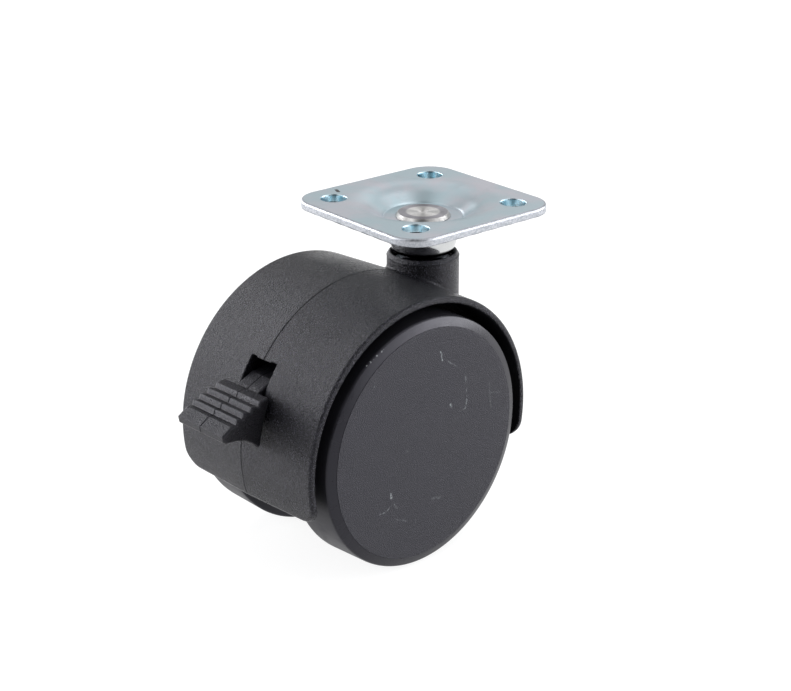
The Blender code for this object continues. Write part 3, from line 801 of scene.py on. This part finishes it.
def nickel_turned():
    """The riveted head: fine tool rings fan out its reflections, with a dark ring round them."""
    s = Shader("nickel_turned", (0.68, 0.67, 0.65), 0.44, 1.0,
               Anisotropic=0.95, Anisotropic_Rotation=0.25)
    tangent = s.tree.nodes.new("ShaderNodeTangent")
    tangent.direction_type = "RADIAL"
    tangent.axis = "Z"
    s.to("Tangent", tangent.outputs[0])
    fine = s.noise(1800.0, 4.0, 0.6)
    s.to("Roughness", s.ramp(fine, 0.3, 0.8, 0.36, 0.50))
    away = s.vector_math("LENGTH", s.mapped(scale=(1.0, 1.0, 0.0)))
    ring = s.math("MULTIPLY", s.ramp_at(away, 3.1, 3.6), s.ramp_at(away, 4.8, 5.0, 1.0, 0.0))
    colour = s.blend(fine, (0.66, 0.65, 0.63), (0.50, 0.49, 0.48))
    s.to("Base Color", s.blend(ring, colour, (0.31, 0.30, 0.32)))
    s.bump(fine, 0.012, 0.8)
    return s.mat


def turned_steel(name, colour, lo, hi):
    """Steel with tool marks round the Y axis and roughness from lo to hi."""
    s = Shader(name, colour, (lo + hi) / 2, 1.0)
    rings = s.noise(900.0, 3.0, 0.6, s.mapped(scale=(0.3, 3.0, 0.3)))
    s.to("Roughness", s.ramp(rings, 0.3, 0.8, lo, hi))
    s.bump(rings, 0.01, 0.6)
    return s.mat


def acetal():
    """Unpigmented acetal of the hub bushes."""
    s = Shader("acetal_natural", (0.60, 0.58, 0.53), 0.4)
    fine = s.noise(700.0, 3.0, 0.6)
    s.to("Roughness", s.ramp(fine, 0.3, 0.8, 0.34, 0.5))
    s.bump(fine, 0.01, 0.6)
    return s.mat


# --- plate ------------------------------------------------------------------------------------
def plate_field(x, y, z):
    """Square plate with a pressed dish, four punched holes and the rivet's hole."""
    c, s = math.cos(-PLATE_TURN), math.sin(-PLATE_TURN)
    u, v = x * c - y * s, x * s + y * c
    r = np.hypot(u, v)
    curve_w = DISH_CURVE_R * math.sin(DISH_ANGLE)
    straight_r = DISH_LIP_R - curve_w
    straight_z = -DISH_CURVE_R * (1 - math.cos(DISH_ANGLE))
    reach = np.clip(DISH_LIP_R - r, 0.0, curve_w)
    curve = np.sqrt(DISH_CURVE_R ** 2 - reach ** 2) - DISH_CURVE_R
    straight = straight_z - (straight_r - r) * math.tan(DISH_ANGLE)
    wall = np.where(r > straight_r, curve, straight)
    lean = np.where(r > straight_r, np.arcsin(reach / DISH_CURVE_R), DISH_ANGLE)
    drop = wall - DISH_FLOOR_Z
    on_wall = np.clip(0.5 + 0.5 * drop / DISH_FOLD, 0.0, 1.0)
    top_z = DISH_FLOOR_Z + drop * on_wall + DISH_FOLD * on_wall * (1 - on_wall)
    top_z = top_z - COIN_H * np.exp(-((r - COIN_AT_R) / COIN_W) ** 2)
    flat = np.cos(lean * on_wall)
    top = (z - top_z) * flat
    bottom = (top_z - PLATE_T / flat - z) * flat
    qx, qy = [np.abs(c) - (PLATE_HALF - PLATE_CORNER_R) for c in (u, v)]
    outline = np.hypot(np.maximum(qx, 0), np.maximum(qy, 0)) - PLATE_CORNER_R
    outline = outline + np.minimum(np.maximum(qx, qy), 0)
    d = rounded_max(outline, top, PLATE_TOP_EDGE_R)
    d = rounded_max(d, bottom, PLATE_BOTTOM_EDGE_R)
    hole = HOLE_R + HOLE_TAPER * z - np.hypot(np.abs(u) - HOLE_AT, np.abs(v) - HOLE_AT)
    d = rounded_max(d, hole, HOLE_EDGE_R)
    return rounded_max(d, RIVET_HOLE_R - r, RIVET_HOLE_EDGE_R)


def build_plate(mat):
    dish_floor = (-8.6, 8.6, 0.17)
    fine = ((dish_floor,), (dish_floor,), ())
    lines = grid_round("top_plate", (0.7, 0.7, 0.5), (0.3, 0.3, 0.2), fine)
    mesh = mesh_from_field("plate_pressed", plate_field, lines)
    add_piece("plate_pressed", mesh, "plate", mat, "top_plate")


# --- swivel pin -------------------------------------------------------------------------------
# profiles list radius, height and rounding
RING_H = 0.006                   # half height of the fine tool rings on the riveted head
HEAD_RINGS = [(1.3 + 0.12 * i, -2.33 + (RING_H if i % 2 else -RING_H), 0) for i in range(30)]
BOWL_SIDE = [(r, h, 0) for r, h in arc(2.38, -7.4, 4.4, 0, -68, 17)]
PIN_PROFILE = [
    (0.0, -2.55, 0), (0.7, -2.52, 0.2), (1.2, -2.36, 0.2), *HEAD_RINGS,
    (5.0, -2.36, 0.08), (5.4, -2.90, 0.15), (5.5, -3.05, 0), (4.0, -3.05, 0), (4.0, -5.1, 0),
    (6.78, -5.1, 0.35), *BOWL_SIDE, (4.0, -11.8, 0), (4.0, -28.3, 0.1), (3.2, -28.3, 0),
    (3.2, -29.7, 0), (4.0, -29.7, 0.1), (4.0, -31.5, 0.1), (3.2, -32.3, 0), (0.0, -32.3, 0),
]


def build_pin(bowl, head):
    mesh = lathe_mesh("pin_turned", softened(PIN_PROFILE), "Z", (0, 0), 160, sharp_deg=25)
    add_piece("pin_turned", mesh, "plate", bowl, "swivel_pin")
    second_material(mesh, head, lambda x, y, z: z > DISH_FLOOR_Z)


# --- housing ----------------------------------------------------------------------------------
def parting_groove(w):
    """Depth of the witness line at distance w from the middle plane."""
    return PARTING_D * np.clip(1.0 - w / PARTING_W, 0.0, 1.0)


def hood_shell_field(x, y, z):
    """The curved hood with its two wheel bays and the web between them."""
    w = np.abs(y)
    r = np.hypot(x - AXLE_X, z - AXLE_Z)
    draft = math.atan2(HOOD_MID_R - HOOD_SIDE_R, HOOD_HALF_W)
    skin = (r - HOOD_MID_R + w * math.tan(draft)) * math.cos(draft)
    side = rounded_max(w - HOOD_HALF_W, HOOD_BOTTOM_Z - z, SKIRT_CORNER_R)
    outer = rounded_max(skin + parting_groove(w), side, HOOD_EDGE_R)
    bay = rounded_max(r - HOOD_INNER_R, WEB_HALF_T - w, BAY_CORNER_R)
    bay = np.where(w < WEB_HALF_T, np.maximum(bay, WEB_HALF_T - w), bay)
    shell = rounded_max(outer, -bay, HOOD_RIM_EDGE_R)
    ring = rounded_max(outer, HOOD_INNER_R - r, HOOD_RIM_EDGE_R)
    web_end = WEB_BOTTOM_Z - z
    web = np.maximum(r - (HOOD_INNER_R + WEB_OVERLAP), w - WEB_HALF_T)
    web = rounded_max(web, web_end, WEB_EDGE_R)
    # the web stops above the skirt's edge, so only the ring goes on below it
    d = np.where(z < RING_ONLY_Z, ring, np.minimum(ring, np.maximum(shell, web_end)))
    return np.minimum(d, web)


def hood_field(x, y, z):
    """The whole moulding: hood, boss, hub and cheeks, less the slot and the bores."""
    w = np.abs(y)
    r = np.hypot(x - AXLE_X, z - AXLE_Z)
    d = hood_shell_field(x, y, z)
    flat = np.hypot(x, y)
    squeeze = BOSS_SHOULDER_W / BOSS_SHOULDER_H
    boss = rounded_max(flat - BOSS_R, (z - BOSS_TOP_Z) * squeeze, BOSS_SHOULDER_W)
    boss = boss - CREASE_H * np.exp(-((z - CREASE_Z) / CREASE_W) ** 2)
    boss = np.maximum(boss, BOSS_END_Z - z)
    d = rounded_min(d, boss, BOSS_FILLET_R)
    hub = rounded_max(r - HUB_R, w - HUB_HALF_W, HUB_EDGE_R)
    d = rounded_min(d, hub, HUB_FILLET_R)
    cheeks = np.maximum(r - (HOOD_INNER_R + CHEEK_OVERLAP), w - CHEEK_HALF_W)
    cheeks = np.maximum(cheeks, np.maximum(x - CHEEK_X, z - CHEEK_TOP_Z))
    d = rounded_min(d, np.maximum(cheeks, CHEEK_BOTTOM_Z - z), CHEEK_FILLET_R)
    slot = np.maximum(polygon_field(x, z, SLOT_OUTLINE), w - SLOT_HALF_W)
    d = rounded_max(d, -slot, SLOT_EDGE_R)
    mouth = np.maximum(flat - BOSS_MOUTH_R, BOSS_COUNTERBORE_Z - z)
    d = rounded_max(d, -mouth, BOSS_MOUTH_EDGE_R)
    bore = np.maximum(flat - BOSS_BORE_R, BOSS_BORE_END_Z - z)
    d = rounded_max(d, -bore, BOSS_BORE_EDGE_R)
    d = np.maximum(d, AXLE_HOLE_R - r)
    return np.maximum(d, PIVOT_HOLE_R - np.hypot(x - PIVOT_X, z - PIVOT_Z))


def build_hood(mat, inner):
    boss = (-BOSS_R - 0.2, BOSS_R + 0.2, 0.28)
    left_rim = (-HOOD_HALF_W - 0.1, -HOOD_HALF_W + 0.8, 0.2)
    right_rim = (HOOD_HALF_W - 0.8, HOOD_HALF_W + 0.1, 0.2)
    witness_line = (-0.2, 0.2, 0.065)
    skirt = (HOOD_BOTTOM_Z - 0.2, HOOD_BOTTOM_Z + 0.8, 0.25)
    shoulder = (-12.0, BOSS_TOP_Z + 0.2, 0.15)
    fine = ((boss,), (left_rim, boss, witness_line, right_rim), (skirt, shoulder))
    lines = grid_round("housing", (0.9, 0.9, 0.9), (0.52, 0.54, 0.52), fine)
    mesh = mesh_from_field("hood_moulding", hood_field, lines)
    add_piece("hood_moulding", mesh, "housing", mat, "housing")
    # faces inside the wheel bays take the darker copy of the nylon: painted shade
    inner_r = HOOD_INNER_R + 0.15
    second_material(mesh, inner, lambda x, y, z: np.hypot(x - AXLE_X, z - AXLE_Z) < inner_r)


# --- wheels -----------------------------------------------------------------------------------
# profiles list radius, distance from the middle plane and rounding
WHEEL_SIDES = 256
WHEEL_BODY = [
    (4.5, 8.2, 0.1), (7.0, 8.2, 0.2), (7.0, 15.2, 0.5), (22.0, 15.2, 0.6), (22.0, 9.8, 0.2),
    (25.4, 9.8, 0.5), (25.12, SHOULDER_Y, 0.6), (23.2, 19.94, 0.02), (23.2, 17.2, 0.1),
    (4.5, 17.2, 0.1),
]
WHEEL_FACE = [
    (0.0, FACE_Y, 0), (23.17, FACE_Y, 0.05), (23.17, 18.9, 0.1), (21.2, 18.9, 0.1),
    (21.2, 17.5, 0.1), (20.2, 17.5, 0.1), (20.2, 18.9, 0.1), (0.0, 18.9, 0),
]


def build_wheel(tag, side, tread, cap):
    """One wheel: side is -1 for the left and 1 for the right."""
    centre = (AXLE_X, AXLE_Z)
    name, body = "wheel_tread_" + tag, "wheel_" + tag
    mesh = lathe_mesh(name, softened(WHEEL_BODY), "Y", centre, WHEEL_SIDES, side)
    add_piece(name, mesh, body, tread, "wheel_body_" + tag)
    name = "wheel_face_" + tag
    mesh = lathe_mesh(name, softened(WHEEL_FACE), "Y", centre, WHEEL_SIDES, side)
    add_piece(name, mesh, body, cap, "wheel_cap_" + tag)


# --- lever ------------------------------------------------------------------------------------
def on_hood(r, deg):
    """x and z at radius r from the axle, deg above the level line towards -X."""
    a = math.radians(deg)
    return (AXLE_X - r * math.cos(a), AXLE_Z + r * math.sin(a))


PEDAL = [
    (-46.0, -26.2), (-48.0, -26.4), (-48.42, -27.35), (-49.95, -26.9), (-50.37, -27.9),
    (-51.8, -27.5), (-52.22, -28.5), (-53.4, -28.2), (-53.82, -29.2), (-54.9, -29.15),
    (-57.1, -30.5), (-56.9, -31.7), (-56.5, -32.05), (-54.0, -32.3), (-52.0, -32.9),
    (-50.3, -34.0), (-48.9, -35.4),
    *[on_hood(30.1, 9.4 + 15.6 * i / 6) for i in range(7)],
]
NECK = [
    (-46.5, -26.9), (-45.1, -26.1), (-42.1, -24.8), (-39.5, -24.6), (-35.5, -23.9),
    *arc(BAR_X, BAR_Z, 2.6, 125, -60, 8), (-33.2, -29.0),
    *arc(PIVOT_X, PIVOT_Z, 3.2, -30, -110, 5), (-43.0, -31.6), (-47.2, -31.9),
]
PEDAL_ROOT_X = -46.0             # the pedal widens from here to its tip
PEDAL_LENGTH = 11.0
PEDAL_HALF_W = 6.45
PEDAL_SPREAD = 0.03              # growth of the half width for each mm
PEDAL_EDGE_R = 0.45
NECK_HALF_W = 3.1
NECK_EDGE_R = 0.3
NECK_FILLET_R = 0.3
BAR_HOLE_R = 1.8


def lever_field(x, y, z):
    """The stepped pedal and the neck that reaches the pivot and the brake bar."""
    w = np.abs(y)
    half_w = PEDAL_HALF_W + PEDAL_SPREAD * np.clip(PEDAL_ROOT_X - x, 0.0, PEDAL_LENGTH)
    groove = parting_groove(w)
    pedal = rounded_max(polygon_field(x, z, PEDAL) + groove, w - half_w, PEDAL_EDGE_R)
    neck = rounded_max(polygon_field(x, z, NECK) + groove, w - NECK_HALF_W, NECK_EDGE_R)
    d = rounded_min(pedal, neck, NECK_FILLET_R)
    d = np.maximum(d, PIVOT_HOLE_R - np.hypot(x - PIVOT_X, z - PIVOT_Z))
    return np.maximum(d, BAR_HOLE_R - np.hypot(x - BAR_X, z - BAR_Z))


def build_lever(mat):
    witness_line = (-0.2, 0.2, 0.06)
    fine = ((), (witness_line,), ())
    lines = grid_round("brake_lever", (0.7, 0.9, 0.7), (0.18, 0.22, 0.18), fine)
    mesh = mesh_from_field("brake_pedal", lever_field, lines)
    add_piece("brake_pedal", mesh, "lever", mat, "brake_lever")


# --- studio -----------------------------------------------------------------------------------
CAMERA_AT = (-227.629, -229.186, 100.800)
CAMERA_AZIMUTH = math.radians(-43.825)
CAMERA_ELEVATION = math.radians(22.175)
CAMERA_ROLL = math.radians(-0.247)
CAMERA_LENS = 78.08


def build_camera():
    """The photograph's camera; its azimuth turns from looking along +Y."""
    a, e, r = CAMERA_AZIMUTH, CAMERA_ELEVATION, CAMERA_ROLL
    back = Vector((math.sin(a) * math.cos(e), -math.cos(a) * math.cos(e), math.sin(e)))
    right = Vector((math.cos(a), math.sin(a), 0.0))
    up = back.cross(right)
    x_axis = right * math.cos(r) + up * math.sin(r)
    y_axis = up * math.cos(r) - right * math.sin(r)
    data = bpy.data.cameras.new("camera")
    data.sensor_width = 36.0
    data.lens = CAMERA_LENS
    data.clip_start = 0.01
    data.clip_end = 20.0
    camera = bpy.data.objects.new("camera", data)
    bpy.context.scene.collection.objects.link(camera)
    turn = Matrix((x_axis, y_axis, back)).transposed().to_4x4()
    camera.matrix_world = Matrix.Translation(Vector(CAMERA_AT) * MM) @ turn
    bpy.context.scene.camera = camera


# soft boxes on the studio's dome: azimuth, elevation (degrees), strength
LIGHTS = (
    (-30, 5, 8.30), (120, 5, 9.80), (90, 5, 3.70), (-60, 5, 4.20), (165, 28, 2.10),
    (-70, 55, 1.15), (155, 55, 0.90), (-25, 55, 1.17), (65, 55, 0.79), (15, 28, 0.72),
    (45, 28, 0.52), (150, 5, 0.39), (0, 88, 0.37), (-105, 28, 0.36), (60, 5, 0.34),
    (110, 55, 0.30), (-15, 28, 0.19), (30, 5, 0.14), (20, 55, 0.10),
)
LIGHT_HALF_W = math.radians(30)
LIGHT_COLOUR = (0.98, 0.985, 1.0, 1.0)


def build_light():
    """World whose brightness is the sum of a soft lobe for each light."""
    world = bpy.data.worlds.new("studio")
    bpy.context.scene.world = world
    world.use_nodes = True
    tree = world.node_tree
    back = tree.nodes["Background"]
    back.inputs["Color"].default_value = LIGHT_COLOUR
    coords = tree.nodes.new("ShaderNodeTexCoord").outputs["Generated"]
    total = None
    for azimuth, elevation, strength in LIGHTS:
        a, e = math.radians(azimuth), math.radians(elevation)
        towards = (math.cos(a) * math.cos(e), math.sin(a) * math.cos(e), math.sin(e))
        dot = tree.nodes.new("ShaderNodeVectorMath")
        dot.operation = "DOT_PRODUCT"
        dot.inputs[1].default_value = towards
        tree.links.new(coords, dot.inputs[0])
        lobe = tree.nodes.new("ShaderNodeMapRange")
        lobe.interpolation_type = "SMOOTHSTEP"
        lobe.inputs["From Min"].default_value = math.cos(LIGHT_HALF_W)
        lobe.inputs["From Max"].default_value = 1.0
        lobe.inputs["To Max"].default_value = strength
        tree.links.new(dot.outputs["Value"], lobe.inputs["Value"])
        if total is None:
            total = lobe.outputs["Result"]
        else:
            add = tree.nodes.new("ShaderNodeMath")
            tree.links.new(total, add.inputs[0])
            tree.links.new(lobe.outputs["Result"], add.inputs[1])
            total = add.outputs[0]
    tree.links.new(total, back.inputs["Strength"])


FLOOR_HALF = 3000.0
FLOOR_GREY = (0.25, 0.25, 0.25)
FLOOR_GLOW = 0.86                # the floor shines white, so that only soft shadows show on it


def build_floor():
    half, z = FLOOR_HALF * MM, cad_bounds[0][2]
    corners = [(-half, -half, z), (half, -half, z), (half, half, z), (-half, half, z)]
    mesh = bpy.data.meshes.new("floor")
    mesh.from_pydata(corners, [], [(0, 1, 2, 3)])
    floor = bpy.data.objects.new("floor", mesh)
    bpy.context.scene.collection.objects.link(floor)
    s = Shader("floor_pale", FLOOR_GREY, 0.9, Specular_IOR_Level=0.1,
               Emission_Color=(1.0, 1.0, 1.0, 1.0), Emission_Strength=FLOOR_GLOW)
    mesh.materials.append(s.mat)


def main():
    build_plate(zinc())
    build_pin(nickel_polished(), nickel_turned())
    build_hood(textured_nylon(), shaded_inner_nylon())
    gloss, cap = gloss_nylon(), cap_nylon()
    build_wheel("left", -1, gloss, cap)
    build_wheel("right", 1, gloss, cap)
    build_lever(lever_nylon())
    steel = turned_steel("steel_turned", (0.60, 0.61, 0.63), 0.22, 0.4)
    spring = turned_steel("steel_spring", (0.42, 0.43, 0.46), 0.25, 0.45)
    white = acetal()
    kept = {                     # small parts that show as the CAD has them
        "pin_retaining_ring": spring, "thrust_washer": steel, "swivel_bush": steel, "axle": steel,
        "axle_washer_left": steel, "axle_washer_right": steel, "axle_clip_left": spring,
        "axle_clip_right": spring, "hub_bush_left": white, "hub_bush_right": white,
        "lever_pin": steel, "brake_bar": steel, "detent_spring": spring,
    }
    for node, mat in kept.items():
        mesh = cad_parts[node].data
        mesh.materials.clear()
        mesh.materials.append(mat)
    build_camera()
    build_floor()
    build_light()
    bpy.context.scene.view_settings.view_transform = "Standard"
    bpy.context.scene.view_settings.look = "None"


main()
